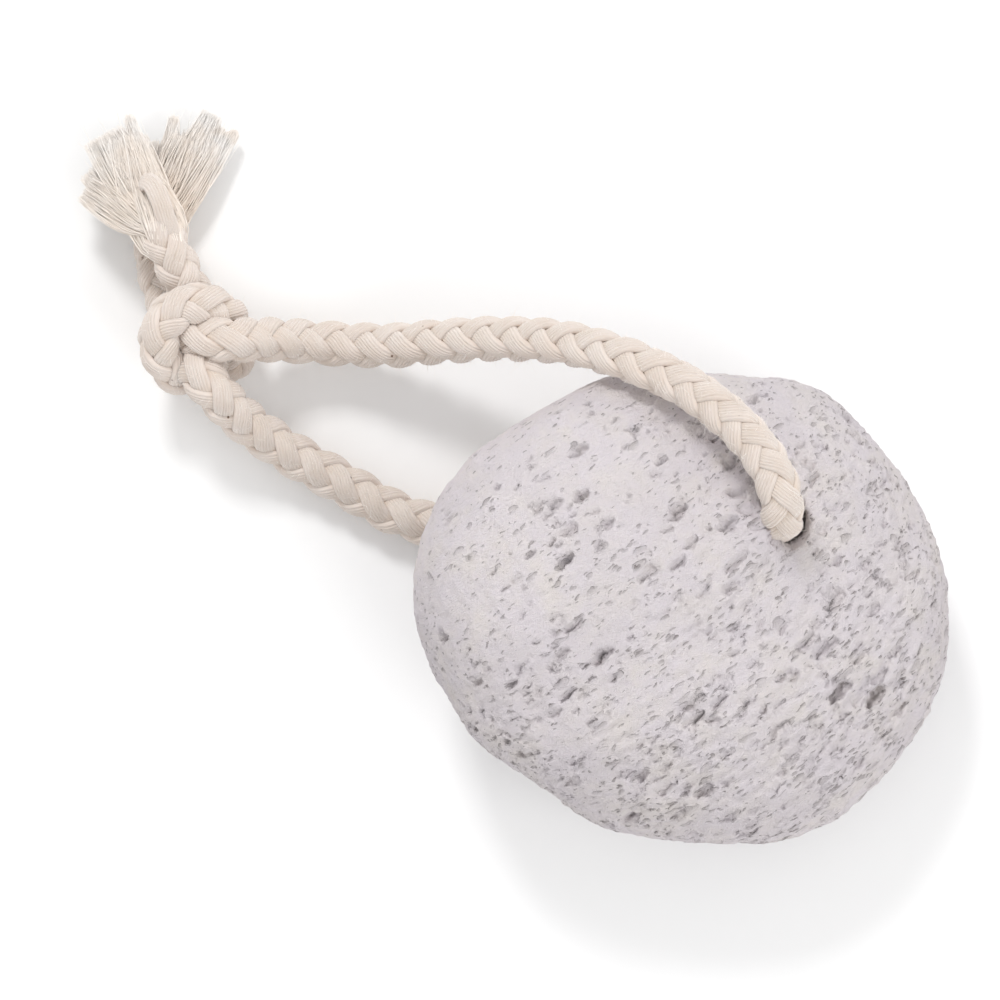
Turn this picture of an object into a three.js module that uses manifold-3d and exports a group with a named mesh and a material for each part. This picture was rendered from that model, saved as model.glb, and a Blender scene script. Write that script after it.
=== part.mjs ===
// A pumice stone on a loop of braided cotton cord.
//
// The stone is a flattened pebble, drilled from face to face. One length of cord goes through
// the drilled hole, its two ends are tied together beside the stone, and both ends are frayed.
// Everything lies as it rests on a table: the stone leans a little, because one run of the
// cord passes under it. Millimetres, +Z up, the table at z = 0, the origin under the middle
// of the stone.

import * as THREE from 'three';
import { mergeVertices } from 'three/addons/utils/BufferGeometryUtils.js';
import Module from 'manifold-3d';

const wasm = await Module();
wasm.setup();

// ---------------------------------------------------------------- driving dimensions

// The stone's outline from above: its radius every 30 degrees, anticlockwise from +X.
const OUTLINE_RADII = [45.5, 43.2, 43.0, 41.2, 42.8, 46.0, 46.2, 41.6, 38.3, 40.2, 44.8, 46.6];
const STONE_THICKNESS = 41;
const STONE_DETAIL = 15; // how finely the pebble's icosahedron is divided
const SHOULDER = 0.9; // 1 is a plain ellipsoid, less is a fuller shoulder
const STONE_LEAN = THREE.MathUtils.degToRad(14);
const LEAN_AXIS = new THREE.Vector3(1, 1, 0).normalize(); // so the upper left is raised
const WORN_FLAT_DEPTH = 0.9; // what is rubbed off under the stone where it rests

// Broad hollows and swellings: how high, how long, and which way each wave runs.
const SWELLS = [
  { height: 0.45, length: 34, along: [1, 0.5, 0.3], start: 0.4 },
  { height: 0.35, length: 23, along: [-0.4, 1, 0.6], start: 2.1 },
  { height: 0.25, length: 16, along: [0.7, -0.6, 1], start: 4.0 },
];

const HOLE_RADIUS = 5.4;
const HOLE_PLACE = [13.2, 17.9]; // where its axis crosses the stone's middle plane
const MOUTH_RADIUS = { upper: 6.5, lower: 13 };
const MOUTH_DEPTH = { upper: 3.5, lower: 8.5 };
const MOUTH_HEIGHT = 18; // the stone's half thickness at the hole
const DISH_PLACE = [20.5, 17, 31]; // the shallow scoop beside the upper mouth
const DISH_RADIUS = 14;

const CORD_DIAMETER = 8;
const CORD_SIDES = 10;
const CORD_STEP = 5; // between two sections of a tube
const CLEARANCE = 0.3; // between two nodes that meet

// The cord is modelled as two halves that meet inside the hole. Each half is one smooth curve
// through these points: up or down out of the hole, over or under the stone, through the knot
// and on to where its braid ends.
const UPPER_ROUTE = [
  [12.7, 18.2, 22.4], [13.7, 17.2, 28.2], [14.6, 16.2, 33.8], [15.3, 15.1, 39.4],
  [15.7, 16.1, 44.6], [15.0, 20.2, 47.6], [12.9, 24.8, 47.9], [9.6, 29.2, 47.4],
  [5.2, 33.3, 46.4], [-0.5, 37.4, 44.4], [-6.3, 40.3, 41.6], [-12.0, 42.6, 38.0],
  [-20.6, 44.9, 31.0], [-31.1, 45.8, 22.6], [-41.4, 45.5, 15.4], [-50.0, 45.0, 10.4],
  [-58.0, 45.3, 7.4], [-65.6, 45.8, 8.0], [-72.0, 46.0, 11.8], [-78.0, 45.8, 15.8],
  [-83.2, 46.4, 14.8], [-86.8, 48.6, 9.2], [-88.6, 52.2, 5.0], [-90.0, 56.4, 4.1],
  [-90.9, 60.6, 4.1], [-90.2, 64.8, 4.1], [-88.6, 69.0, 4.1],
];
const LOWER_ROUTE = [
  [12.7, 18.2, 22.4], [11.7, 19.2, 16.6], [10.3, 20.5, 11.6], [7.4, 22.9, 7.2],
  [3.0, 25.2, 4.6], [-2.5, 26.4, 4.1], [-9.0, 25.8, 4.1], [-17.0, 23.0, 4.1],
  [-26.0, 19.2, 4.1], [-35.0, 15.8, 4.1], [-42.0, 14.2, 4.1], [-48.4, 15.8, 4.1],
  [-58.9, 21.6, 4.1], [-65.9, 25.6, 5.0], [-71.4, 29.2, 7.2], [-76.2, 33.0, 10.8],
  [-79.6, 36.6, 14.2], [-82.4, 39.8, 14.8], [-85.0, 42.6, 11.2], [-87.2, 44.6, 7.0],
  [-85.8, 44.4, 4.2], [-82.4, 42.6, 4.0], [-79.4, 41.6, 4.2], [-77.4, 43.0, 5.6],
  [-77.0, 46.4, 7.4], [-78.6, 50.2, 11.6], [-82.2, 52.0, 15.4], [-86.6, 50.8, 16.8],
  [-89.4, 46.6, 16.4], [-88.4, 42.2, 13.4], [-85.4, 40.0, 9.6], [-81.8, 41.2, 9.2],
  [-80.9, 45.6, 9.6], [-82.4, 50.4, 10.2], [-85.0, 55.2, 11.6], [-87.0, 59.6, 13.0],
  [-89.2, 63.8, 13.4], [-91.7, 67.4, 12.2],
];

// Where each half goes into the knot and where it comes out, measured along it from the hole.
const KNOT_STRETCH = { upper: [134, 167], lower: [113, 206] };
const KNOT_STEP = 3; // finer sections, because the turns in the knot are tight
const KNOT_SMALLEST_EDGE = 0.05; // slivers where the turns meet are smoothed away below this

// Each frayed end carries on the way that its braid ends, and spreads flat towards its tips.
const FRAYED_LENGTH = 15.5;
const FRAYED_TIP_WIDTH = 14;
const FRAYED_TIP_THICKNESS = 3.6;

// ---------------------------------------------------------------- solids

function solidOf(geometry) {
  const plain = geometry.index ? geometry.clone() : geometry;
  plain.deleteAttribute('normal');
  plain.deleteAttribute('uv');
  const merged = mergeVertices(plain, 1e-4);
  const vertProperties = new Float32Array(merged.attributes.position.array);
  const triVerts = new Uint32Array(merged.index.array);
  return new wasm.Manifold(new wasm.Mesh({ numProp: 3, vertProperties, triVerts }));
}

function geometryOf(solid) {
  const mesh = solid.getMesh();
  const geometry = new THREE.BufferGeometry();
  geometry.setAttribute('position', new THREE.BufferAttribute(mesh.vertProperties, 3));
  geometry.setIndex(new THREE.BufferAttribute(mesh.triVerts, 1));
  geometry.computeVertexNormals();
  return geometry;
}

// ---------------------------------------------------------------- the stone

/** The outline's radius at an angle: a smooth closed curve through OUTLINE_RADII. */
function outlineRadius(angle) {
  const count = OUTLINE_RADII.length;
  const turns = angle / (2 * Math.PI);
  const place = (turns - Math.floor(turns)) * count;
  const step = Math.floor(place);
  const f = place - step;
  const [a, b, c, d] = [-1, 0, 1, 2].map((k) => OUTLINE_RADII[(step + k + count) % count]);
  return b + 0.5 * f * (c - a + f * (2 * a - 5 * b + 4 * c - d + f * (3 * (b - c) + d - a)));
}

function swell(point) {
  let height = 0;
  for (const wave of SWELLS) {
    const along = new THREE.Vector3(...wave.along).normalize();
    height += wave.height * Math.sin((2 * Math.PI * point.dot(along)) / wave.length + wave.start);
  }
  return height;
}

/** The pebble before it is drilled, lying flat round its own middle. */
function pebble() {
  const geometry = new THREE.IcosahedronGeometry(1, STONE_DETAIL);
  const positions = geometry.attributes.position;
  const point = new THREE.Vector3();
  for (let i = 0; i < positions.count; i += 1) {
    point.fromBufferAttribute(positions, i);
    const level = Math.hypot(point.x, point.y) ** SHOULDER;
    const angle = Math.atan2(point.y, point.x);
    const across = outlineRadius(angle) * level;
    const up = (STONE_THICKNESS / 2) * Math.sign(point.z) * Math.abs(point.z) ** SHOULDER;
    point.set(across * Math.cos(angle), across * Math.sin(angle), up);
    point.setLength(point.length() + swell(point));
    positions.setXYZ(i, point.x, point.y, point.z);
  }
  return solidOf(geometry);
}

/** What the drill takes away: a straight bore that widens in a round lip at each face. */
function drill() {
  const profile = [new THREE.Vector2(0, -STONE_THICKNESS)];
  const steps = 4;
  for (const side of ['lower', 'upper']) {
    const widening = MOUTH_RADIUS[side] - HOLE_RADIUS;
    const lip = [];
    for (let k = 0; k <= steps; k += 1) {
      const turn = (k / steps) * (Math.PI / 2);
      const radius = HOLE_RADIUS + widening * (1 - Math.cos(turn));
      const height = MOUTH_HEIGHT - MOUTH_DEPTH[side] * (1 - Math.sin(turn));
      lip.push(new THREE.Vector2(radius, height));
    }
    lip.push(new THREE.Vector2(MOUTH_RADIUS[side], STONE_THICKNESS));
    if (side === 'lower') {
      profile.push(...lip.reverse().map((p) => new THREE.Vector2(p.x, -p.y)));
    } else {
      profile.push(...lip);
    }
  }
  profile.push(new THREE.Vector2(0, STONE_THICKNESS));
  const geometry = new THREE.LatheGeometry(profile, 32);
  geometry.rotateX(Math.PI / 2);
  geometry.translate(...HOLE_PLACE, 0);
  return solidOf(geometry);
}

function dish() {
  const geometry = new THREE.SphereGeometry(DISH_RADIUS, 32, 20);
  geometry.translate(...DISH_PLACE);
  return solidOf(geometry);
}

/** Everything under the table top. */
function ground() {
  const geometry = new THREE.BoxGeometry(200, 200, 50);
  geometry.translate(0, 0, -25);
  return solidOf(geometry);
}

function stone() {
  const geometry = geometryOf(pebble().subtract(drill()).subtract(dish()));
  geometry.applyMatrix4(new THREE.Matrix4().makeRotationAxis(LEAN_AXIS, STONE_LEAN));
  geometry.computeBoundingBox();
  geometry.translate(0, 0, -geometry.boundingBox.min.z - WORN_FLAT_DEPTH);
  const rested = geometryOf(solidOf(geometry).subtract(ground()));
  rested.computeBoundingBox();
  const middle = rested.boundingBox.getCenter(new THREE.Vector3());
  rested.translate(-middle.x, -middle.y, 0);
  return rested;
}

// ---------------------------------------------------------------- the cord

/** The whole of a route as one smooth curve. */
function curveOf(route) {
  const curve = new THREE.CatmullRomCurve3(route.map((point) => new THREE.Vector3(...point)));
  curve.arcLengthDivisions = 1000;
  return curve;
}

/** Part of a longer curve, from one length along it to another. */
class Stretch extends THREE.Curve {
  constructor(whole, from, to) {
    super();
    this.whole = whole;
    this.from = from / whole.getLength();
    this.to = to / whole.getLength();
  }

  getPoint(t, target = new THREE.Vector3()) {
    return this.whole.getPointAt(THREE.MathUtils.lerp(this.from, this.to, t), target);
  }
}

/** A plain round tube along part of a route. */
function tube(route, from, to) {
  const corners = Array.from({ length: CORD_SIDES }, (_, k) => (2 * Math.PI * k) / CORD_SIDES);
  const radius = CORD_DIAMETER / 2;
  const section = new THREE.Shape(
    corners.map((turn) => new THREE.Vector2(radius * Math.cos(turn), radius * Math.sin(turn))),
  );
  const extrudePath = new Stretch(curveOf(route), from, to);
  const steps = Math.round((to - from) / CORD_STEP);
  return new THREE.ExtrudeGeometry(section, { steps, extrudePath, bevelEnabled: false });
}

/** Cord that turns too tightly for one tube: each short length is the hull of its two ends. */
function tightTurns(route, from, to) {
  const path = new Stretch(curveOf(route), from, to);
  const steps = Math.round((to - from) / KNOT_STEP);
  const { normals, binormals } = path.computeFrenetFrames(steps);
  const radius = CORD_DIAMETER / 2;
  const sectionAt = (middle, i) =>
    Array.from({ length: CORD_SIDES }, (_, k) => {
      const turn = (2 * Math.PI * k) / CORD_SIDES;
      const corner = middle.clone().addScaledVector(normals[i], radius * Math.cos(turn));
      return corner.addScaledVector(binormals[i], radius * Math.sin(turn)).toArray();
    });
  const sections = path.getSpacedPoints(steps).map(sectionAt);
  const lengths = sections.slice(1).map((end, i) => wasm.Manifold.hull([...sections[i], ...end]));
  return wasm.Manifold.union(lengths);
}

/** The knot: the turns of both halves, joined in one solid, without the hollows sealed inside. */
function knot() {
  const upper = tightTurns(UPPER_ROUTE, ...KNOT_STRETCH.upper);
  const lower = tightTurns(LOWER_ROUTE, ...KNOT_STRETCH.lower);
  const shells = upper.add(lower).simplify(KNOT_SMALLEST_EDGE).decompose();
  const [outerShell] = shells.sort((a, b) => b.volume() - a.volume());
  return geometryOf(outerShell);
}

/** A frayed end: a round stub of cord that spreads and flattens towards its tips. */
function frayedEnd(route) {
  const sides = 20;
  const rings = 4;
  const tipRadius = FRAYED_TIP_WIDTH / 2;
  const rootRadius = CORD_DIAMETER / 2;
  const geometry = new THREE.CylinderGeometry(tipRadius, rootRadius, FRAYED_LENGTH, sides, rings);
  geometry.translate(0, FRAYED_LENGTH / 2, 0);
  const positions = geometry.attributes.position;
  for (let i = 0; i < positions.count; i += 1) {
    const along = positions.getY(i) / FRAYED_LENGTH;
    const flatness = THREE.MathUtils.lerp(1, FRAYED_TIP_THICKNESS / FRAYED_TIP_WIDTH, along);
    positions.setZ(i, positions.getZ(i) * flatness);
  }
  geometry.translate(0, CLEARANCE, 0);
  const curve = curveOf(route);
  const onward = curve.getTangent(1);
  const across = onward.clone().cross(new THREE.Vector3(0, 0, 1)).normalize();
  const upward = across.clone().cross(onward);
  geometry.applyMatrix4(new THREE.Matrix4().makeBasis(across, onward, upward));
  geometry.translate(...route.at(-1));
  return geometry;
}

// ---------------------------------------------------------------- materials and nodes

const pumice = new THREE.MeshStandardMaterial({ color: 0xd5cdcf, roughness: 0.95 });
const cotton = new THREE.MeshStandardMaterial({ color: 0xe6dace, roughness: 0.9 });

function node(name, geometry, material) {
  const mesh = new THREE.Mesh(geometry, material);
  mesh.name = name;
  return mesh;
}

const part = new THREE.Group();
part.add(node('stone', stone(), pumice));

const routes = { upper: UPPER_ROUTE, lower: LOWER_ROUTE };
const tailNames = { upper: 'back', lower: 'front' }; // which end each half becomes past the knot
for (const [half, route] of Object.entries(routes)) {
  const [intoKnot, outOfKnot] = KNOT_STRETCH[half];
  const end = tailNames[half];
  const run = tube(route, CLEARANCE / 2, intoKnot - CLEARANCE);
  const tail = tube(route, outOfKnot + CLEARANCE, curveOf(route).getLength());
  part.add(node(`cord_${half}_run`, run, cotton));
  part.add(node(`tail_${end}`, tail, cotton));
  part.add(node(`frayed_end_${end}`, frayedEnd(route), cotton));
}
part.add(node('knot', knot(), cotton));

export default part;
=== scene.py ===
# %% [markdown]
# # A pumice stone on a loop of braided cord
#
# The object is a drilled pebble of pumice and one length of cotton cord. The cord goes through
# the hole, and its two ends are tied together and frayed. The stone's plain shape comes from
# the imported model. This script makes what the eye reads as stone and cotton: the pores, the
# braid, the knot's turns, the loose fibres and the finishes.
#
# The imported model is loaded first, because every size and place follows from it.

import math

import bmesh
import bpy
import numpy as np
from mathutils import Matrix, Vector, kdtree, noise


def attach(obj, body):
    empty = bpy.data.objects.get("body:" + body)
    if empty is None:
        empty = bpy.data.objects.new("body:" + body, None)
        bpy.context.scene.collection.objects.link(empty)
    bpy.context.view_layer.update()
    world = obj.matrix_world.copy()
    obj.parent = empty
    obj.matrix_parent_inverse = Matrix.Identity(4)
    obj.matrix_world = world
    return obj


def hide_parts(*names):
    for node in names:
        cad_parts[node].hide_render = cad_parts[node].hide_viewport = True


MM = 0.001

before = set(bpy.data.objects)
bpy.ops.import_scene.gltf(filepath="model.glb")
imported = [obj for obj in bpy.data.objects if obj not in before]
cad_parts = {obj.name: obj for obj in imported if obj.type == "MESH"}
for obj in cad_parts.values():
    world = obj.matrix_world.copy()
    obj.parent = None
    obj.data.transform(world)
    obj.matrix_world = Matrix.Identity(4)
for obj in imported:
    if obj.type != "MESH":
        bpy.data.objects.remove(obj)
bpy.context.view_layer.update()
print("packed nodes:", sorted(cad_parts))

# %% [markdown]
# ## The camera
#
# The camera hangs straight above the table and looks down, with +Y at the top of the view.
# A long lens from far away keeps the stone's outline true, where a short lens close by would
# make the top of the stone look larger than the knot on the table. The lens follows from the
# width that the view should show at the stone's middle height.

# %% Hang the camera
VIEW_CENTRE = Vector((-31.1 * MM, 18.4 * MM, 22 * MM))
VIEW_WIDTH = 170 * MM
CAMERA_DISTANCE = 900 * MM

camera_data = bpy.data.cameras.new("camera")
camera_data.sensor_width = 36
camera_data.lens = camera_data.sensor_width * CAMERA_DISTANCE / VIEW_WIDTH
camera = bpy.data.objects.new("camera", camera_data)
camera.location = VIEW_CENTRE + Vector((0, 0, CAMERA_DISTANCE))
bpy.context.scene.collection.objects.link(camera)
bpy.context.scene.camera = camera
print(f"lens {camera_data.lens:.0f} mm")

# %% [markdown]
# ## The cord's routes
#
# A cord is easiest to plan as a line through its middle. The two halves of the cord start in
# the middle of the drilled hole. The upper half comes out over the stone, and the lower half
# passes under it. They meet in the knot: the upper half goes straight through, and the lower
# half makes the turn round it. A smooth curve runs through each list of points. It could be a
# Bezier curve with handles, but a Catmull-Rom curve goes through every point with no handles
# to set, so the list alone fixes the shape.

# %% Points along each half, in millimetres
UPPER_ROUTE = [
    (12.7, 18.2, 22.4), (13.7, 17.2, 28.2), (14.6, 16.2, 33.8), (15.3, 15.1, 39.4),
    (15.7, 16.1, 44.6), (15.0, 20.2, 47.6), (12.9, 24.8, 47.9), (9.6, 29.2, 47.4),
    (5.2, 33.3, 46.4), (-0.5, 37.4, 44.4), (-6.3, 40.3, 41.6), (-12.0, 42.6, 38.0),
    (-20.6, 44.9, 31.0), (-31.1, 45.8, 22.6), (-41.4, 45.5, 15.4), (-50.0, 45.0, 10.4),
    (-58.0, 45.3, 7.4), (-65.6, 45.8, 8.0), (-72.0, 46.0, 11.8), (-78.0, 45.8, 15.8),
    (-83.2, 46.4, 14.8), (-86.8, 48.6, 9.2), (-88.6, 52.2, 5.0), (-90.0, 56.4, 4.1),
    (-90.9, 60.6, 4.1), (-90.2, 64.8, 4.1), (-88.6, 69.0, 4.1),
]
LOWER_ROUTE = [
    (12.7, 18.2, 22.4), (11.7, 19.2, 16.6), (10.3, 20.5, 11.6), (7.4, 22.9, 7.2),
    (3.0, 25.2, 4.6), (-2.5, 26.4, 4.1), (-9.0, 25.8, 4.1), (-17.0, 23.0, 4.1),
    (-26.0, 19.2, 4.1), (-35.0, 15.8, 4.1), (-42.0, 14.2, 4.1), (-48.4, 15.8, 4.1),
    (-58.9, 21.6, 4.1), (-65.9, 25.6, 5.0), (-71.4, 29.2, 7.2), (-76.2, 33.0, 10.8),
    (-79.6, 36.6, 14.2), (-82.4, 39.8, 14.8), (-85.0, 42.6, 11.2), (-87.2, 44.6, 7.0),
    (-85.8, 44.4, 4.2), (-82.4, 42.6, 4.0), (-79.4, 41.6, 4.2), (-77.4, 43.0, 5.6),
    (-77.0, 46.4, 7.4), (-78.6, 50.2, 11.6), (-82.2, 52.0, 15.4), (-86.6, 50.8, 16.8),
    (-89.4, 46.6, 16.4), (-88.4, 42.2, 13.4), (-85.4, 40.0, 9.6), (-81.8, 41.2, 9.2),
    (-80.9, 45.6, 9.6), (-82.4, 50.4, 10.2), (-85.0, 55.2, 11.6), (-87.0, 59.6, 13.0),
    (-89.2, 63.8, 13.4), (-91.7, 67.4, 12.2),
]
UPPER_MOUTH = UPPER_ROUTE[3]

RING_STEP = 0.7 * MM  # between two sections of a strand


def smooth_line(points, step):
    """Evenly spaced points, in metres, on a centripetal Catmull-Rom curve through points."""
    p = np.array(points, float) * MM
    p = np.vstack([2 * p[0] - p[1], p, 2 * p[-1] - p[-2]])
    t = np.linspace(0, 1, 60, endpoint=False)[:, None]
    pieces = []
    for a, b, c, d in zip(p, p[1:], p[2:], p[3:]):
        ab, bc, cd = (np.linalg.norm(q) ** 0.5 for q in (b - a, c - b, d - c))
        leave = ((b - a) / ab - (c - a) / (ab + bc) + (c - b) / bc) * bc
        arrive = ((c - b) / bc - (d - b) / (bc + cd) + (d - c) / cd) * bc
        cubic = 2 * (b - c) + leave + arrive
        square = 3 * (c - b) - 2 * leave - arrive
        pieces.append(b + t * (leave + t * (square + t * cubic)))
    dense = np.vstack([*pieces, p[-2:-1]])
    along = np.r_[0, np.cumsum(np.linalg.norm(np.diff(dense, axis=0), axis=1))]
    places = np.linspace(0, along[-1], round(along[-1] / step) + 1)
    return np.stack([np.interp(places, along, dense[:, k]) for k in range(3)], axis=1)


def length_of(line):
    return float(np.linalg.norm(np.diff(line, axis=0), axis=1).sum())


upper_line = smooth_line(UPPER_ROUTE, RING_STEP)
lower_line = smooth_line(LOWER_ROUTE, RING_STEP)
print(f"upper half {length_of(upper_line):.3f} m, lower half {length_of(lower_line):.3f} m")

# %% [markdown]
# ## Directions round the cord
#
# The strands wind round the middle line, so each point of it needs two directions across the
# line that don't spin on their own. Turning the last pair by the bend between two steps, and
# no more, gives that. A twist is then added on purpose, because a real braid turns slowly as
# it is handled.

# %% Carry two directions along a line
def unit(v):
    return v / np.linalg.norm(v, axis=-1, keepdims=True)


def directions(line):
    """The way the line runs, and two steady directions across it, at each point."""
    runs = unit(np.gradient(line, axis=0))
    first = unit(np.cross(runs[0], (0.0, 1.0, 0.0)))
    across = [first]
    for run in runs[1:]:
        turned = across[-1] - run * (across[-1] @ run)
        across.append(unit(turned))
    across = np.array(across)
    return runs, across, np.cross(runs, across)


# %% [markdown]
# ## The braid
#
# The cord is a round braid of eight strands, as a braiding machine makes it: four strands
# wind one way and four the other, and each passes over two and under two. Round the cord this
# gives four columns of slanted floats that lean alternately left and right, like an ear of
# wheat. A bump pattern on a plain tube could fake it, but the braid's edge is wavy and light
# falls between the strands, so every strand is a real swept shape.
#
# A strand's distance from the middle rises and falls with its place round the cord. It is
# outermost in the middle of its own columns and innermost where it passes under the others.

# %% The braid's measures
STRANDS_EACH_WAY = 4
LOOSE_LAY = 24.5 * MM  # one full turn of a strand where the cord hangs free
TIGHT_LAY = 20 * MM  # the same where it is bent or knotted
MEAN_RADIUS = 2.05 * MM  # of a strand's middle line
FLOAT_HEIGHT = 0.9 * MM  # how far it rises and dives from that
STRAND_HALF_WIDTH = 1.8 * MM
STRAND_HALF_THICKNESS = 1.08 * MM
YARNS = 7  # parallel yarns side by side in one strand
YARN_RELIEF = 0.13 * MM
THINNING = 4 * MM  # a strand gets thinner over this last stretch
CUT_SIZE = 0.45  # how thin it is at its cut end


def strand_line(line, winding, start, turn, tight_from, tight_until):
    """A strand's middle line, the way it faces, and how far out it is from 0 to 1."""
    _, across, other = directions(line)
    step = length_of(line) / (len(line) - 1)
    steps = np.arange(len(line)) * step
    ease = 12 * MM
    places = (tight_from - ease, tight_from, tight_until, tight_until + ease)
    lay = np.interp(steps, places, (TIGHT_LAY, LOOSE_LAY, LOOSE_LAY, TIGHT_LAY))
    angle = start + winding * 2 * math.pi * np.cumsum(step / lay)
    lift = winding * np.cos(2 * angle)
    turned = angle + turn[0] + turn[1] * steps
    outward = np.cos(turned)[:, None] * across + np.sin(turned)[:, None] * other
    middle = line + outward * (MEAN_RADIUS + FLOAT_HEIGHT * lift)[:, None]
    return middle, outward, (lift + 1) / 2


# %% [markdown]
# A strand's cross-section is a flat oval. Its outer side is scalloped, one scallop to each
# yarn with four points each, and the hidden inner side is plain.

# %% A strand's cross-section
def strand_section():
    """Points (across, out) round the section, in metres, from the middle of its inner side."""
    places = np.linspace(1, -1, YARNS * 4 + 1)
    groove = np.tile((1.0, 0.25, 0.0, 0.25), YARNS + 1)[: len(places)]
    crown = np.sqrt(1 - 0.97 * places**2) * STRAND_HALF_THICKNESS
    outer = np.stack([places * STRAND_HALF_WIDTH, crown - groove * YARN_RELIEF], axis=1)
    turn = np.radians((200, 235, 270, 305, 340))
    inner = np.stack(
        [np.cos(turn) * STRAND_HALF_WIDTH, np.sin(turn) * STRAND_HALF_THICKNESS], axis=1
    )
    return np.vstack([inner[2:], outer, inner[:2]])


# %% [markdown]
# Each strand starts as a flat grid of squares. Its long way is the strand's length and its
# short way goes round the section. The grid's points are moved to their places, the two long
# edges meet and are merged, and the open ends are filled, so the strand is a closed skin.
# Three numbers are kept at each point for the finish: millimetres along the strand, how far
# across it, and how far out of the braid it lies. The last sets the painted shade between
# strands.

# %% Sweep strands into one mesh
def sweep(bm, middle, facing, section, lift):
    """Adds a closed strand with this section along middle."""
    rows, columns = len(middle), len(section)
    runs = unit(np.gradient(middle, axis=0))
    out = unit(facing - runs * (facing * runs).sum(1, keepdims=True))
    side = np.cross(runs, out)
    ring = np.vstack([section, section[:1]])
    along = np.arange(rows) * length_of(middle) / (rows - 1) / MM
    share = np.clip((along[-1] - along) * MM / THINNING, CUT_SIZE, 1)[:, None, None]
    across = side[:, None] * ring[None, :, :1] + out[:, None] * ring[None, :, 1:]
    places = middle[:, None] + across * share
    weave = bm.verts.layers.float_vector["weave"]
    made = bmesh.ops.create_grid(bm, x_segments=rows - 1, y_segments=columns, size=0.5)
    for vert in made["verts"]:
        i = round((vert.co.x + 0.5) * (rows - 1))
        j = round((vert.co.y + 0.5) * columns)
        vert[weave] = (along[i], ring[j, 0] / STRAND_HALF_WIDTH, lift[i])
        vert.co = places[i, j]


def closed_skin(bm):
    """Merges the seams, fills the open ends, and points the faces outwards."""
    bmesh.ops.remove_doubles(bm, verts=bm.verts, dist=0.001 * MM)
    rims = [edge for edge in bm.edges if edge.is_boundary]
    bmesh.ops.holes_fill(bm, edges=rims, sides=0)
    bmesh.ops.recalc_face_normals(bm, faces=bm.faces)


def finished(bm, name):
    """Turns a bmesh into a smooth-shaded object in the scene."""
    for face in bm.faces:
        face.smooth = True
    mesh = bpy.data.meshes.new(name)
    bm.to_mesh(mesh)
    bm.free()
    piece = bpy.data.objects.new(name, mesh)
    bpy.context.scene.collection.objects.link(piece)
    print(f"{name}: {len(mesh.polygons)} faces")
    return piece


def braid(name, line, turn, tight_from, tight_until):
    """One object of eight strands that follow line, and each strand's middle and facing.

    turn is the braid's twist at its start and per metre, in radians. The lay is loose only
    between tight_from and tight_until, in metres along the line.
    """
    bm = bmesh.new()
    bm.verts.layers.float_vector.new("weave")
    section = strand_section()
    strands = []
    for winding in (1, -1):
        for k in range(STRANDS_EACH_WAY):
            start = (k + (0.5 if winding < 0 else 0)) * 2 * math.pi / STRANDS_EACH_WAY
            middle, outward, lift = strand_line(
                line, winding, start, turn, tight_from, tight_until
            )
            sweep(bm, middle, outward, section, lift)
            strands.append((middle, outward))
    closed_skin(bm)
    return finished(bm, name), strands


# %% Braid both halves
cord_upper, upper_strands = braid("cord_upper", upper_line, (0.6, 4.0), 62 * MM, 128 * MM)
cord_lower, lower_strands = braid("cord_lower", lower_line, (0.2, 3.0), 20 * MM, 104 * MM)

# %% [markdown]
# ## The unlaid strand
#
# At the front tail one strand has come loose from the braid. It arches over and its end
# disappears among the fibres. It could be bent out of the braid's own mesh, but a short line
# of its own is easier to place. It is swept with the same section, a little smaller.

# %% Arch one strand over
UNDER_THE_ARCH = (-91.0, 69.5, 6.0)  # the strand's outer side faces away from here
LOOSE_SIZE = 0.95  # against a strand in the braid
# The loose strand gets as little of the braid's painted shade as the outer part of a float.
LOOSE_LIFT = 0.8  # as light in colour as the outer part of a float
LOOSE_ROUTE = [
    (-86.6, 61.2, 13.2), (-87.6, 64.2, 15.2), (-88.4, 67.0, 16.4), (-89.3, 69.8, 16.8),
    (-90.5, 72.2, 16.4), (-91.7, 73.0, 14.8), (-92.4, 72.2, 12.4), (-92.6, 70.8, 10.0),
]
loose_line = smooth_line(LOOSE_ROUTE, RING_STEP)
bm = bmesh.new()
bm.verts.layers.float_vector.new("weave")
outwards = unit(loose_line - np.array(UNDER_THE_ARCH) * MM)
section = strand_section() * LOOSE_SIZE
sweep(bm, loose_line, outwards, section, np.full(len(loose_line), LOOSE_LIFT))
closed_skin(bm)
loose_strand = finished(bm, "loose_strand")

# %% [markdown]
# ## The frayed ends
#
# Where the cord was cut, the eight strands have opened into locks of loose yarn. A lock is
# wide and flat, and its yarns lie almost side by side. Hair particles could make it, but a
# curve for each yarn gives control of where every lock points, and curves turn into one plain
# mesh at the end. A lock's yarns peel off the last stretch of their own strand, leave in that
# strand's direction, and bend towards the lock's tip. A few are longer and stray.

# %% Tips of the locks, from left to right, with how wide each spreads, in millimetres
FRONT_TIPS = [
    (-102.7, 72.2, 8.5, 2.4), (-101.8, 75.8, 7.0, 2.6), (-100.8, 81.2, 5.5, 2.6),
    (-98.6, 82.0, 8.0, 2.4), (-96.6, 80.8, 9.5, 2.2), (-95.4, 85.0, 6.5, 0.6),
    (-94.4, 81.0, 8.5, 1.7), (-93.3, 81.4, 5.0, 1.0),
]
REAR_TIPS = [
    (-91.4, 79.0, 3.8, 2.0), (-89.4, 80.6, 4.8, 2.2), (-87.6, 85.0, 3.8, 0.7),
    (-85.6, 81.2, 6.0, 2.3), (-83.4, 82.2, 4.8, 2.3), (-80.9, 85.4, 5.6, 1.9),
    (-79.6, 83.2, 4.2, 1.9), (-76.8, 82.4, 3.4, 0.6),
]
YARNS_PER_LOCK = 420
YARN_RADIUS = 0.075 * MM
PEEL_RINGS = (3, 12)  # how many sections before the cut end a yarn can leave its strand
STRAYS = 0.004  # share of the yarns that reach past their lock


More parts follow.
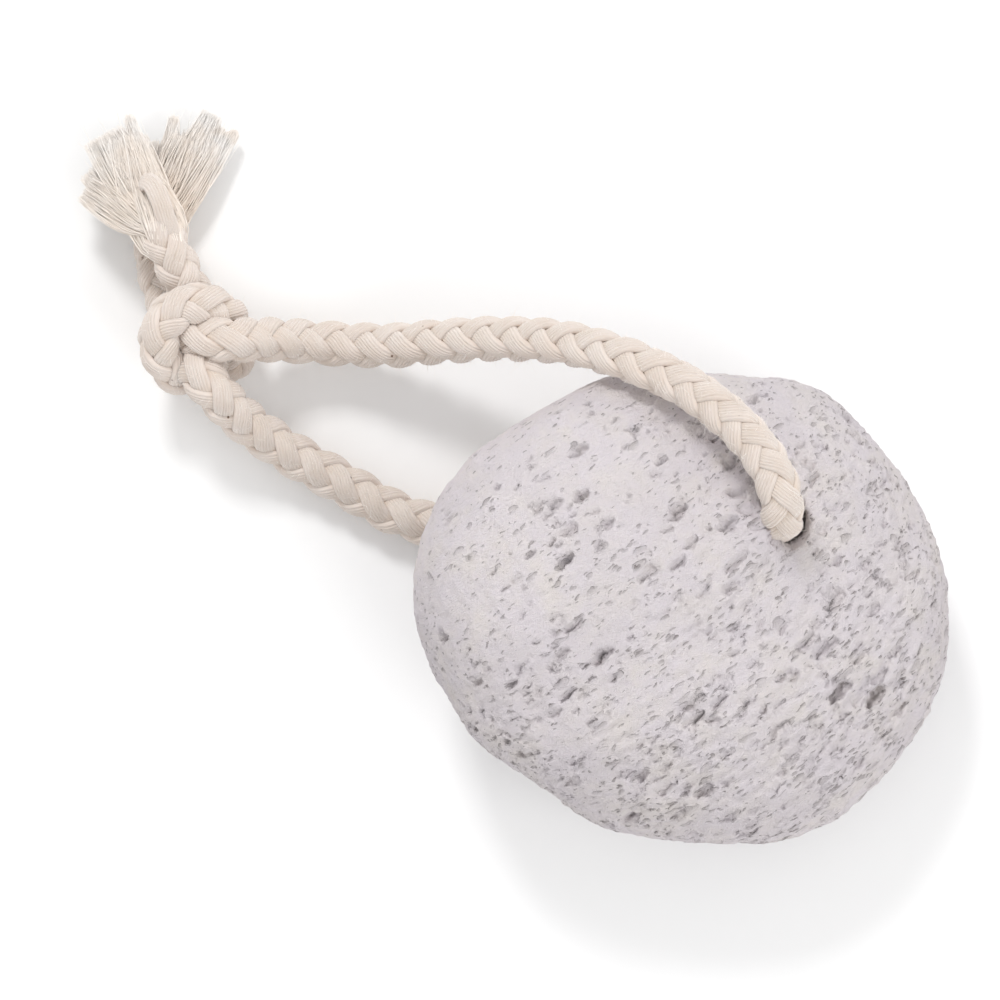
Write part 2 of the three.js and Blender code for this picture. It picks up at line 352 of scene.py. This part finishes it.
def yarn_mesh(name, paths):
    """Makes one mesh of thin tubes. Each path is a list of (place, radius)."""
    curve = bpy.data.curves.new(name, "CURVE")
    curve.dimensions = "3D"
    curve.bevel_depth = 1.0
    curve.bevel_resolution = 0
    curve.use_fill_caps = True
    for path in paths:
        spline = curve.splines.new("POLY")
        spline.points.add(len(path) - 1)
        for point, (place, radius) in zip(spline.points, path):
            point.co = (*place, 1)
            point.radius = radius
    holder = bpy.data.objects.new(name, curve)
    mesh = bpy.data.meshes.new_from_object(holder)
    bpy.data.objects.remove(holder)
    bm = bmesh.new()
    bm.from_mesh(mesh)
    bpy.data.meshes.remove(mesh)
    bmesh.ops.recalc_face_normals(bm, faces=bm.faces)
    return finished(bm, name)


def lock_paths(rng, strand, tip, spread):
    """The yarns of one lock, which peel off the strand's last stretch, to the lock's tip."""
    middle, facing = strand
    t = np.linspace(0, 1, 7)[:, None]
    paths = []
    for _ in range(YARNS_PER_LOCK):
        i = -rng.integers(*PEEL_RINGS)
        leaves = unit(middle[i + 1] - middle[i - 1])
        out = unit(facing[i] - leaves * (facing[i] @ leaves))
        side = np.cross(leaves, out)
        way = tip - middle[i]
        reach = np.linalg.norm(way)
        tip_side = unit(np.cross((0.0, 0.0, 1.0), way))
        if tip_side @ side < 0:
            side = -side
        a, b = rng.uniform(-1, 1), rng.uniform(-1, 1)
        start = middle[i] + side * a * STRAND_HALF_WIDTH * 0.75
        start = start + out * (0.45 + b * 0.55 - 0.3 * a * a) * STRAND_HALF_THICKNESS
        cut = rng.exponential(0.05) * (1 + abs(a))
        end = tip + tip_side * a * spread - way * cut * 0.6
        end = end + rng.normal(0, 0.15, 3) * MM + np.array((0, 0, b * 0.5 * MM))
        if rng.random() < STRAYS:
            end = end + way * rng.uniform(0.1, 0.3) + rng.normal(0, 0.8, 3) * MM
        bend_1 = start + leaves * reach * 0.22 + tip_side * a * 1.2 * MM
        bulge = tip_side * a * 1.1 * MM + np.array((0, 0, b * 0.6 * MM))
        bend_2 = end - way * 0.4 + bulge
        line = (
            (1 - t) ** 3 * start
            + 3 * t * (1 - t) ** 2 * bend_1
            + 3 * t**2 * (1 - t) * bend_2
            + t**3 * end
        )
        wave = np.sin(t * rng.uniform(4, 8) + rng.uniform(0, 6)) * t
        line = line + wave * rng.normal(0, 0.16, 3) * MM
        line[:, 2] = np.maximum(line[:, 2], 0.3 * MM)
        thick = YARN_RADIUS * rng.uniform(0.7, 1.2)
        paths.append([(p, thick * (1 - 0.55 * k**4)) for p, k in zip(line, t[:, 0])])
    return paths


def frayed_end(name, seed, strands, tips):
    """All the locks of one end. Strands and tips are matched from left to right."""
    rng = np.random.default_rng(seed)
    ordered = sorted(strands, key=lambda strand: strand[0][-1] @ (1.0, -0.25, 0.0))
    paths = []
    for strand, (x, y, z, spread) in zip(ordered, tips):
        paths += lock_paths(rng, strand, np.array((x, y, z)) * MM, spread * MM)
    return yarn_mesh(name, paths)


frayed_front = frayed_end("frayed_end_front_yarns", 11, lower_strands, FRONT_TIPS)
frayed_rear = frayed_end("frayed_end_rear_yarns", 12, upper_strands, REAR_TIPS)

# %% [markdown]
# ## The fuzz
#
# Cotton is spun from short fibres, and their ends stand off the cord. Each is thinner than a
# hair, but together they soften the cord's edge. A fibre starts on a strand's outer side and
# curls away along a random direction. They are thicker here than the real 0.02 mm, because a
# real one would be too fine to show.

# %% Comb fibre ends out of the strands
FUZZ_RADIUS = 0.022 * MM


def fuzz(name, seed, strands, count):
    """Short curled fibres that stand off the outer side of the strands."""
    rng = np.random.default_rng(seed)
    paths = []
    while len(paths) < count:
        middle, facing = strands[rng.integers(len(strands))]
        i = rng.integers(6, len(middle) - 2)
        out = facing[i]
        run = unit(middle[i + 1] - middle[i - 1])
        side = np.cross(run, out)
        start = middle[i] + out * STRAND_HALF_THICKNESS * 0.8
        start = start + side * rng.uniform(-0.8, 0.8) * STRAND_HALF_WIDTH
        lean = run * rng.normal(0, 1) + side * rng.normal(0, 0.8) + out * rng.uniform(0.3, 1.2)
        lean = unit(lean)
        curl = unit(rng.normal(0, 1, 3))
        reach = rng.gamma(3, 0.32) * MM
        path = []
        for k in np.linspace(0, 1, 4):
            place = start + lean * reach * k + curl * reach * 0.35 * k * k
            path.append((place, FUZZ_RADIUS * (1 - 0.6 * k)))
        if all(place[2] > 0.1 * MM for place, _ in path):
            paths.append(path)
    return yarn_mesh(name, paths)


fuzz_upper = fuzz("fuzz_upper", 21, upper_strands, 5200)
fuzz_lower = fuzz("fuzz_lower", 22, lower_strands, 6000)

# %% [markdown]
# ## The stone
#
# Pumice is glass foam: gas bubbles stretched in one direction while the lava still flowed,
# then froze. Cutting the foam opens the bubbles as long pits that all point the same way.
# The stone's own solid is right in shape but plain, so a copy of it gets a fine even skin of
# small squares, and the pits are pushed into that skin. A displacement modifier with a noise
# texture would give dents without rims. Pushing each pit on its own gives steep walls, slanted
# floors and broken rims. The remesh leaves the plain stone's facets in the skin, so the skin
# is smoothed before anything is pushed into it.

# %% Copy the plain stone and give it a fine skin
SKIN = 0.36 * MM  # side of one square
SMOOTHINGS = 20

bm = bmesh.new()
bm.from_mesh(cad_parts["stone"].data)
bmesh.ops.remove_doubles(bm, verts=bm.verts, dist=0.001 * MM)
plain_stone = finished(bm, "plain_stone")
remesh = plain_stone.modifiers.new("skin", "REMESH")
remesh.mode = "VOXEL"
remesh.voxel_size = SKIN
depsgraph = bpy.context.view_layer.depsgraph
depsgraph.update()
bm = bmesh.new()
bm.from_object(plain_stone, depsgraph)
bpy.data.objects.remove(plain_stone)
for _ in range(SMOOTHINGS):
    bmesh.ops.smooth_vert(
        bm, verts=bm.verts, factor=0.5, use_axis_x=True, use_axis_y=True, use_axis_z=True
    )
bm.verts.layers.float.new("pit")
bm.verts.layers.float.new("open_foam")
stone = finished(bm, "pumice_stone")

# %% [markdown]
# The flow direction lies nearly flat and runs from the lower left to the upper right. Space
# is first crumpled a little by noise, so a pit that is a plain oval in crumpled space comes
# out with a ragged rim. Pits are large and crowded on one side of the stone and small and
# sparse on the other. A pit's floor slips towards the lower right as it sinks, so its upper
# left side is a slope and its lower right wall is steep.

# %% Dig the pits
FLOW_ANGLE = math.radians(38)  # from +X, seen from above
FLOW = unit(np.array((math.cos(FLOW_ANGLE), math.sin(FLOW_ANGLE), 0.1)))
COARSE_SIDE = unit(np.array((0.75, -0.6, 0.0)))
HALF_STONE = 45 * MM  # from the middle to the coarsest side
BURROW = 0.8 * COARSE_SIDE  # how far a pit's floor slips sideways for each step it sinks
CROWD_WIDTH = 9 * MM  # of a patch with many pits
WALL = 0.2  # share of a pit's radius that its wall takes
PITS = [(280, 2.6, 5.0), (1500, 1.3, 2.6)]  # how many, shortest, longest in mm


def numbers(vertices, name, width=3):
    values = np.empty(len(vertices) * width, dtype=np.float32)
    vertices.foreach_get(name, values)
    return values.reshape(-1, width).astype(float)


def crumple(places, size, amount, seed):
    """Noise vectors at each place. size is the width of a lump."""
    shift = Vector((seed, seed * 1.7, -seed))
    return amount * np.array([noise.noise_vector(Vector(p / size) + shift) for p in places])


vertices = stone.data.vertices
skin = numbers(vertices, "co")
normals = numbers(vertices, "normal")
crumpled = skin + crumple(skin, 1.8 * MM, 0.7 * MM, 3) + crumple(skin, 0.9 * MM, 0.4 * MM, 4)
middle = skin.mean(axis=0)
tree = kdtree.KDTree(len(crumpled))
for i, place in enumerate(crumpled):
    tree.insert(place, i)
tree.balance()
print(f"skin of {len(skin)} points")

rng = np.random.default_rng(5)
depth = np.zeros(len(skin))
for count, shortest, longest in PITS:
    dug = 0
    while dug < count:
        i = rng.integers(len(skin))
        coarse = (skin[i] - middle) @ COARSE_SIDE / HALF_STONE
        crowd = noise.noise(Vector(skin[i] / CROWD_WIDTH))
        if rng.random() > 0.5 + 0.3 * coarse + 0.8 * crowd:
            continue
        dug += 1
        size = rng.uniform(shortest, longest) * (1 + 0.25 * coarse)
        half_length = size / 2 * MM
        half_width = half_length * rng.uniform(0.3, 0.55)
        deepest = half_width * rng.uniform(0.9, 2.2)
        near = [found[1] for found in tree.find_range(crumpled[i], half_length * 1.1)]
        away = crumpled[near] - crumpled[i]
        along = away @ FLOW
        across = np.linalg.norm(away - along[:, None] * FLOW, axis=1)
        rim = np.sqrt((along / half_length) ** 2 + (across / half_width) ** 2)
        wall = np.clip((1 - rim) / WALL, 0, 1)
        ramp = 0.55 - 0.45 * np.clip(away @ COARSE_SIDE / half_width, -1, 1)
        depth[near] = np.maximum(depth[near], deepest * ramp * wall * (2 - wall))
print(f"pits up to {depth.max() / MM:.1f} mm deep")

# %% [markdown]
# The hole was drilled at a slant, and on its lower left its rim leans over and hugs the cord.
# The skin near the mouth is drawn towards the hole's line, less and less with distance. On
# the lower left it is drawn much further, by a ragged amount, and is lifted a little.

# %% Draw the rim towards the cord
HUGGING_SIDE = unit(np.array((-0.9, -0.44, 0.0)))
PULL_REACH = 11.5 * MM  # from the hole's line
PULL_FADE = 5.5 * MM
PULL_FLOOR = 33 * MM  # nothing is drawn below this height
RIM_LIFT = 1.7 * MM
RAGGED_WIDTH = 1.6 * MM  # of one lump in the rim

bore_top = np.array(UPPER_MOUTH) * MM
bore_way = unit(bore_top - np.array(UPPER_ROUTE[0]) * MM)
from_axis = skin - bore_top
from_axis -= (from_axis @ bore_way)[:, None] * bore_way
off_axis = np.linalg.norm(from_axis, axis=1)
hugging = np.clip(unit(from_axis) @ HUGGING_SIDE * 1.5, 0, 1)
ragged = np.array([noise.noise(Vector(p / RAGGED_WIDTH)) for p in skin])
near_mouth = np.clip((PULL_REACH - off_axis) / PULL_FADE, 0, 1)
near_mouth *= np.clip((skin[:, 2] - PULL_FLOOR) / (4 * MM), 0, 1)
pull = near_mouth * (1.2 + hugging * (2.3 + 1.2 * ragged)) * MM
rim_pull = -unit(from_axis) * pull[:, None]
rim_pull[:, 2] += near_mouth * hugging * RIM_LIFT

# %% [markdown]
# Between the pits the skin is broken foam: fine ridges that follow the flow, and small lumps.
# The ridges are noise measured in space that is squeezed along the flow. Then everything is
# added up and the points are moved.

# %% Roughen the skin and move its points
SQUEEZE = 0.72  # share of the length along the flow that is taken away
RIDGE_WIDTH = 1.1 * MM
BROAD_WIDTH = 6 * MM

along_flow = (skin @ FLOW)[:, None] * FLOW
squeezed = skin - SQUEEZE * along_flow
ridges = np.array([noise.noise(Vector(p / RIDGE_WIDTH)) for p in squeezed])
broad = np.array([noise.noise(Vector(p / BROAD_WIDTH)) for p in skin])
coarse = (skin - middle) @ COARSE_SIDE / HALF_STONE
relief = (0.3 + 0.12 * coarse) * MM * ridges + 0.3 * MM * broad
lumps = crumple(skin, 1.2 * MM, 0.16 * MM, 9)
moved = skin + rim_pull + normals * relief[:, None] + lumps
moved -= depth[:, None] * (normals - BURROW * (normals[:, 2:3] > -0.5))
moved[:, 2] = np.maximum(moved[:, 2], 0.05 * MM)
vertices.foreach_set("co", moved.astype(np.float32).ravel())
open_foam = np.clip(0.5 + 0.35 * coarse + 0.7 * broad, 0, 1)
for name, values in (("pit", depth / MM), ("open_foam", open_foam)):
    stone.data.attributes[name].data.foreach_set("value", values.astype(np.float32))
stone.data.update()

# %% [markdown]
# The skin has more squares than the plain places need. A decimate modifier takes away the
# points that matter least to the shape, so the pits' sharp walls stay and the piece is light
# enough to hand on. Making the squares larger from the start would blur the pits as well.

# %% Thin the skin where it is plain
MOST_TRIANGLES = 190_000

triangles = 2 * len(stone.data.polygons)
thin = stone.modifiers.new("thin", "DECIMATE")
thin.ratio = MOST_TRIANGLES / triangles
depsgraph.update()
thinned = bpy.data.meshes.new_from_object(stone.evaluated_get(depsgraph))
stone.modifiers.clear()
stone.data = thinned
print(f"stone: {triangles} triangles thinned to {len(thinned.polygons)}")

# %% [markdown]
# ## Finishes
#
# One function turns a colour as a paint chart writes it into the linear numbers that light
# works in. A second one adds a node with its settings and its links, so each finish reads as
# a list of steps.

# %% Two helpers for finishes
def paint(code):
    """A hex colour in sRGB as a linear RGBA tuple."""
    shares = [int(code[i : i + 2], 16) / 255 for i in (1, 3, 5)]
    linear = [c / 12.92 if c <= 0.04045 else ((c + 0.055) / 1.055) ** 2.4 for c in shares]
    return (*linear, 1.0)


def add(material, kind, sockets, **settings):
    """Adds a node. A socket is given a value, or another node's output to link from."""
    made = material.node_tree.nodes.new("ShaderNode" + kind)
    for name, value in settings.items():
        setattr(made, name, value)
    for socket, value in sockets.items():
        if isinstance(value, bpy.types.NodeSocket):
            material.node_tree.links.new(value, made.inputs[socket])
        else:
            made.inputs[socket].default_value = value
    return made


def new_finish(name):
    """A material with an empty node tree."""
    material = bpy.data.materials.new(name)
    material.use_nodes = True
    material.node_tree.nodes.clear()
    return material


def wear(piece, material):
    piece.data.materials.clear()
    piece.data.materials.append(material)


# %% [markdown]
# ### Pumice
#
# Raw pumice is a matt grey-white rhyolite glass foam. Its bubbles' thin walls scatter light,
# so it has no gloss at all. It is a little rosy in some places and creamy in others, and the
# deepest parts of the pits carry painted shade, darker and warmer. The bubbles that are too
# small for the mesh, down to about 0.3 mm, are drawn by three cell patterns, each finer than
# the last. Real ones go on down to 0.01 mm, which would be too fine to show. All are stretched
# along the flow and crumpled like the pits. Every cell has a random number, which sets how wide
# its bubble is, and many cells have none. A bubble is deepest on its upper left, the side on
# which a pit slopes away from the key lamp, and its painted shade is darkest there.

# %% Pumice finish: the pattern's space
pumice = new_finish("rhyolite_pumice")
where = add(pumice, "TexCoord", {})
turned = add(pumice, "Mapping", {0: where.outputs["Object"], 2: (0, 0, -FLOW_ANGLE)})
millimetres = add(pumice, "Mapping", {0: turned.outputs[0], 3: (450, 1000, 1000)})
folds = add(pumice, "TexNoise", {0: millimetres.outputs[0], "Scale": 0.9, "Detail": 3.0})
crumpled_space = add(
    pumice, "VectorMath",
    {0: folds.outputs["Color"], 1: (1.6, 1.6, 1.6), 2: millimetres.outputs[0]},
    operation="MULTIPLY_ADD",
)
open_foam = add(pumice, "Attribute", {}, attribute_name="open_foam")
pit = add(pumice, "Attribute", {}, attribute_name="pit")
patches = add(
    pumice, "TexNoise",
    {0: where.outputs["Object"], "Scale": 70.0, "Detail": 4.0, "Roughness": 0.6},
)
tints = add(
    pumice, "TexNoise",
    {0: where.outputs["Object"], "Scale": 190.0, "Detail": 5.0, "Roughness": 0.6},
)

# %% Pumice finish: three sizes of bubble, their painted shade, and the grain
# The last column sets how dark each bubble's painted shade is.
BUBBLES = [  # cells per mm, least and most radius in cells, how deep, how dark
    (0.5, -0.62, 0.25, 1.5, 0.34),
    (0.9, -0.72, 0.34, 0.95, 0.5),
    (1.6, -1.0, 0.34, 0.5, 0.65),
]
grain = add(
    pumice, "TexNoise",
    {0: millimetres.outputs[0], "Scale": 2.8, "Detail": 4.0, "Roughness": 0.75},
)
height = add(pumice, "Math", {0: grain.outputs[0], 1: 1.7}, operation="MULTIPLY").outputs[0]
# light is the share of the colour left after every bubble's painted shade.
light = 1.0  # what is left of the colour outside every bubble
for cells, least, most, depth_share, shade_darkness in BUBBLES:
    bubble = add(pumice, "TexVoronoi", {0: crumpled_space.outputs[0], "Scale": cells})
    radius = add(
        pumice, "MapRange", {0: bubble.outputs["Color"], 1: 0.15, 2: 0.85, 3: least, 4: most}
    )
    crowded = add(
        pumice, "Math", {0: open_foam.outputs["Fac"], 1: 0.27, 2: radius.outputs[0]},
        operation="MULTIPLY_ADD",
    )
    beyond = add(
        pumice, "Math", {0: bubble.outputs["Distance"], 1: crowded.outputs[0]},
        operation="SUBTRACT",
    )
    hollow = add(
        pumice, "MapRange", {0: beyond.outputs[0], 1: -0.09, 2: 0.0, 3: 1.0, 4: 0.0},
        interpolation_type="SMOOTHSTEP",
    )
    from_centre = add(
        pumice, "VectorMath", {0: crumpled_space.outputs[0], 1: bubble.outputs["Position"]},
        operation="SUBTRACT",
    )
    parts = add(pumice, "SeparateXYZ", {0: from_centre.outputs[0]})
    slant = add(
        pumice, "MapRange", {0: parts.outputs[1], 1: -0.25 / cells, 2: 0.3 / cells, 3: 0.2, 4: 1.0}
    )
    dug = add(
        pumice, "Math", {0: hollow.outputs[0], 1: slant.outputs[0]}, operation="MULTIPLY"
    )
    height = add(
        pumice, "Math", {0: dug.outputs[0], 1: -depth_share, 2: height},
        operation="MULTIPLY_ADD",
    ).outputs[0]
    # Painted shade: the colour is darkened where the bubble is dug, most on its upper left.
    painted_bubble_shade = add(pumice, "MapRange", {0: dug.outputs[0], 3: 1.0, 4: 1 - shade_darkness})
    light = add(pumice, "Math", {0: painted_bubble_shade.outputs[0], 1: light}, operation="MULTIPLY").outputs[0]
rough_skin = add(pumice, "Bump", {"Strength": 1.0, "Distance": 0.55 * MM, "Height": height})

# %% Pumice finish: the colours and the painted shade
rosy = add(pumice, "MapRange", {0: tints.outputs[0], 1: 0.38, 2: 0.62})
base = add(
    pumice, "Mix",
    {0: rosy.outputs[0], 6: paint("#FBF3F7"), 7: paint("#FCF4F2")}, data_type="RGBA",
)
cool = add(pumice, "MapRange", {0: patches.outputs[0], 1: 0.4, 2: 0.66, 4: 0.7})
tinted = add(
    pumice, "Mix", {0: cool.outputs[0], 6: base.outputs[2], 7: paint("#F4ECF1")},
    data_type="RGBA",
)
# Painted shade: the deepest parts of the pits are darkened towards a warm grey.
painted_pit_shade = add(pumice, "MapRange", {0: pit.outputs["Fac"], 1: 1.2, 2: 2.8, 4: 0.65})
pit_shaded = add(
    pumice, "Mix", {0: painted_pit_shade.outputs[0], 6: tinted.outputs[2], 7: paint("#938784")},
    data_type="RGBA",
)
# The bubbles' painted shade takes the colour towards a dark warm grey.
shade = add(pumice, "MapRange", {0: light, 3: 1.0, 4: 0.0})
shaded = add(
    pumice, "Mix", {0: shade.outputs[0], 6: pit_shaded.outputs[2], 7: paint("#6E625F")},
    data_type="RGBA",
)
foam = add(
    pumice, "BsdfPrincipled",
    {
        "Base Color": shaded.outputs[2],
        "Roughness": 0.95,
        "Specular IOR Level": 0.2,
        "Normal": rough_skin.outputs[0],
    },
)
add(pumice, "OutputMaterial", {0: foam.outputs[0]})
wear(stone, pumice)

# %% [markdown]
# ### Braided cotton
#
# The cord is unbleached cotton, spun soft and not waxed. It is cream, and it carries a few
# specks of seed husk. Where strands dive under each other the colour is painted warmer and
# darker, as painted shade. Each strand's yarns run along it, so the yarn lines and their
# fibres follow the numbers kept in the weave. A little sheen stands for the fuzz that is too
# fine to model, and light spreads about half a millimetre inside the strands, which softens
# the braid's shadows. The drawn fibres are coarser than the real 0.02 mm, which would be too
# fine to show.

# %% Braided cotton finish
cotton = new_finish("unbleached_braided_cotton")
weave = add(cotton, "Attribute", {}, attribute_name="weave")
parts = add(cotton, "SeparateXYZ", {0: weave.outputs["Vector"]})
where = add(cotton, "TexCoord", {})
lines = add(
    cotton, "Math", {0: parts.outputs[1], 1: math.pi * YARNS}, operation="MULTIPLY"
)
yarn_wave = add(cotton, "Math", {0: lines.outputs[0]}, operation="COSINE")
fibre_space = add(
    cotton, "Mapping", {0: weave.outputs["Vector"], 3: (0.25, 6.0, 0.3)}
)
fibres = add(
    cotton, "TexNoise", {0: fibre_space.outputs[0], "Scale": 1.6, "Detail": 4.0, "Roughness": 0.6}
)
blotches = add(
    cotton, "TexNoise", {0: where.outputs["Object"], "Scale": 240.0, "Detail": 3.0}
)
height = add(
    cotton, "Math", {0: yarn_wave.outputs[0], 1: 0.12, 2: fibres.outputs[0]},
    operation="MULTIPLY_ADD",
)
yarn_skin = add(
    cotton, "Bump", {"Strength": 0.8, "Distance": 0.3 * MM, "Height": height.outputs[0]}
)
# Painted shade: the colour is warmer and darker where a strand dives under the others.
painted_braid_shade = add(cotton, "MapRange", {0: parts.outputs[2], 1: 0.15, 2: 0.75, 3: 1.0, 4: 0.0})
cream = add(cotton, "MapRange", {0: blotches.outputs[0], 1: 0.35, 2: 0.65})
base = add(
    cotton, "Mix", {0: cream.outputs[0], 6: paint("#E3D8D0"), 7: paint("#DED1C7")},
    data_type="RGBA",
)
shaded = add(
    cotton, "Mix", {0: painted_braid_shade.outputs[0], 6: base.outputs[2], 7: paint("#DBCABA")},
    data_type="RGBA",
)
lined = add(cotton, "MapRange", {0: fibres.outputs[0], 1: 0.3, 2: 0.5, 3: 0.35, 4: 0.0})
streaked = add(
    cotton, "Mix", {0: lined.outputs[0], 6: shaded.outputs[2], 7: paint("#D3C2B1")},
    data_type="RGBA",
)
husks = add(cotton, "TexVoronoi", {0: where.outputs["Object"], "Scale": 210.0})
husk = add(
    cotton, "MapRange", {0: husks.outputs["Distance"], 1: 0.03, 2: 0.06, 3: 1.0, 4: 0.0}
)
speckled = add(
    cotton, "Mix", {0: husk.outputs[0], 6: streaked.outputs[2], 7: paint("#6E5240")},
    data_type="RGBA",
)
fabric = add(
    cotton, "BsdfPrincipled",
    {
        "Base Color": speckled.outputs[2],
        "Roughness": 0.92,
        "Specular IOR Level": 0.2,
        "Sheen Weight": 0.25,
        "Sheen Roughness": 0.6,
        "Subsurface Weight": 0.45,
        "Subsurface Radius": (1.0, 1.0, 1.0),
        "Subsurface Scale": 0.5 * MM,
        "Normal": yarn_skin.outputs[0],
    },
)
add(cotton, "OutputMaterial", {0: fabric.outputs[0]})
for piece in (cord_upper, cord_lower, loose_strand):
    wear(piece, cotton)

# %% [markdown]
# ### Loose cotton
#
# The frayed yarns are the same cotton with the twist gone. One fibre alone is almost white.
# The cream only comes from light that has passed from fibre to fibre many times, so the
# colour here is much lighter than the braid's, most of all at the thin tips. Near the locks'
# roots, where the fibres are dense, that cream and the shade between fibres are painted in.

# %% Loose cotton finish
FRAY_ROOT = (-90.5 * MM, 67.5 * MM, 8 * MM)  # between the ends of the two tails

loose_cotton = new_finish("loose_cotton_fibre")
where = add(loose_cotton, "TexCoord", {})
clumps = add(
    loose_cotton, "TexNoise", {0: where.outputs["Object"], "Scale": 300.0, "Detail": 3.0}
)
tone = add(loose_cotton, "MapRange", {0: clumps.outputs[0], 1: 0.35, 2: 0.65})
tip_tone = add(
    loose_cotton, "Mix", {0: tone.outputs[0], 6: paint("#FDFAF7"), 7: paint("#FCF5EE")},
    data_type="RGBA",
)
from_root = add(
    loose_cotton, "VectorMath", {0: where.outputs["Object"], 1: FRAY_ROOT}, operation="DISTANCE"
)
# Painted shade: near the locks' roots the colour is darker and warmer, as where the fibres lie
# dense.
painted_root_shade = add(
    loose_cotton, "MapRange", {0: from_root.outputs["Value"], 1: 3 * MM, 2: 16 * MM, 3: 1.0, 4: 0.0}
)
base = add(
    loose_cotton, "Mix",
    {0: painted_root_shade.outputs[0], 6: tip_tone.outputs[2], 7: paint("#F1E4D7")}, data_type="RGBA",
)
fibre = add(
    loose_cotton, "BsdfPrincipled",
    {
        "Base Color": base.outputs[2],
        "Roughness": 0.85,
        "Specular IOR Level": 0.25,
        "Sheen Weight": 0.2,
    },
)
add(loose_cotton, "OutputMaterial", {0: fibre.outputs[0]})
for piece in (frayed_front, frayed_rear, fuzz_upper, fuzz_lower):
    wear(piece, loose_cotton)

# %% [markdown]
# ## Floor and light
#
# A pale paper floor and soft light from above keep the eye on the object. The key lamp stands
# high beyond the top of the view and a little to the left, so the upper left slope of each pit
# is in shade. A larger, weaker lamp at the lower right and the white surroundings fill the
# shadows.

# %% Floor
bm = bmesh.new()
bmesh.ops.create_grid(bm, x_segments=1, y_segments=1, size=2)
floor = finished(bm, "floor")
paper = new_finish("matt_white_paper")
sheet = add(paper, "BsdfPrincipled", {"Base Color": paint("#FBFBFB"), "Roughness": 1.0})
add(paper, "OutputMaterial", {0: sheet.outputs[0]})
wear(floor, paper)

# %% Lights
world = bpy.data.worlds.new("soft_room")
world.use_nodes = True
sky = world.node_tree.nodes["Background"]
sky.inputs["Color"].default_value = (1, 1, 1, 1)
sky.inputs["Strength"].default_value = 0.76
bpy.context.scene.world = world


def lamp(name, place, aim, size, power):
    """A square soft box that points from place to aim."""
    light = bpy.data.lights.new(name, "AREA")
    light.size = size
    light.energy = power
    holder = bpy.data.objects.new(name, light)
    holder.location = place
    holder.rotation_euler = (Vector(aim) - Vector(place)).to_track_quat("-Z", "Y").to_euler()
    bpy.context.scene.collection.objects.link(holder)


lamp("key", (-0.25, 0.74, 0.75), VIEW_CENTRE, 0.22, 4.6)
lamp("fill", (0.6, -0.4, 0.7), VIEW_CENTRE, 0.6, 3.1)
bpy.context.scene.view_settings.view_transform = "Standard"

# %% [markdown]
# ## Tie everything to the imported model
#
# Every new piece rides on the object's one body and stands for the imported solid that it
# covers.

cord_pieces = (
    cord_upper, cord_lower, loose_strand, frayed_front, frayed_rear, fuzz_upper, fuzz_lower
)
for piece in cord_pieces:
    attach(piece, "root")
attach(stone, "root")
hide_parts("stone")
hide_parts("cord_upper_run", "tail_back")
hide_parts("cord_lower_run", "knot", "tail_front")
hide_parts("frayed_end_back")
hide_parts("frayed_end_front")
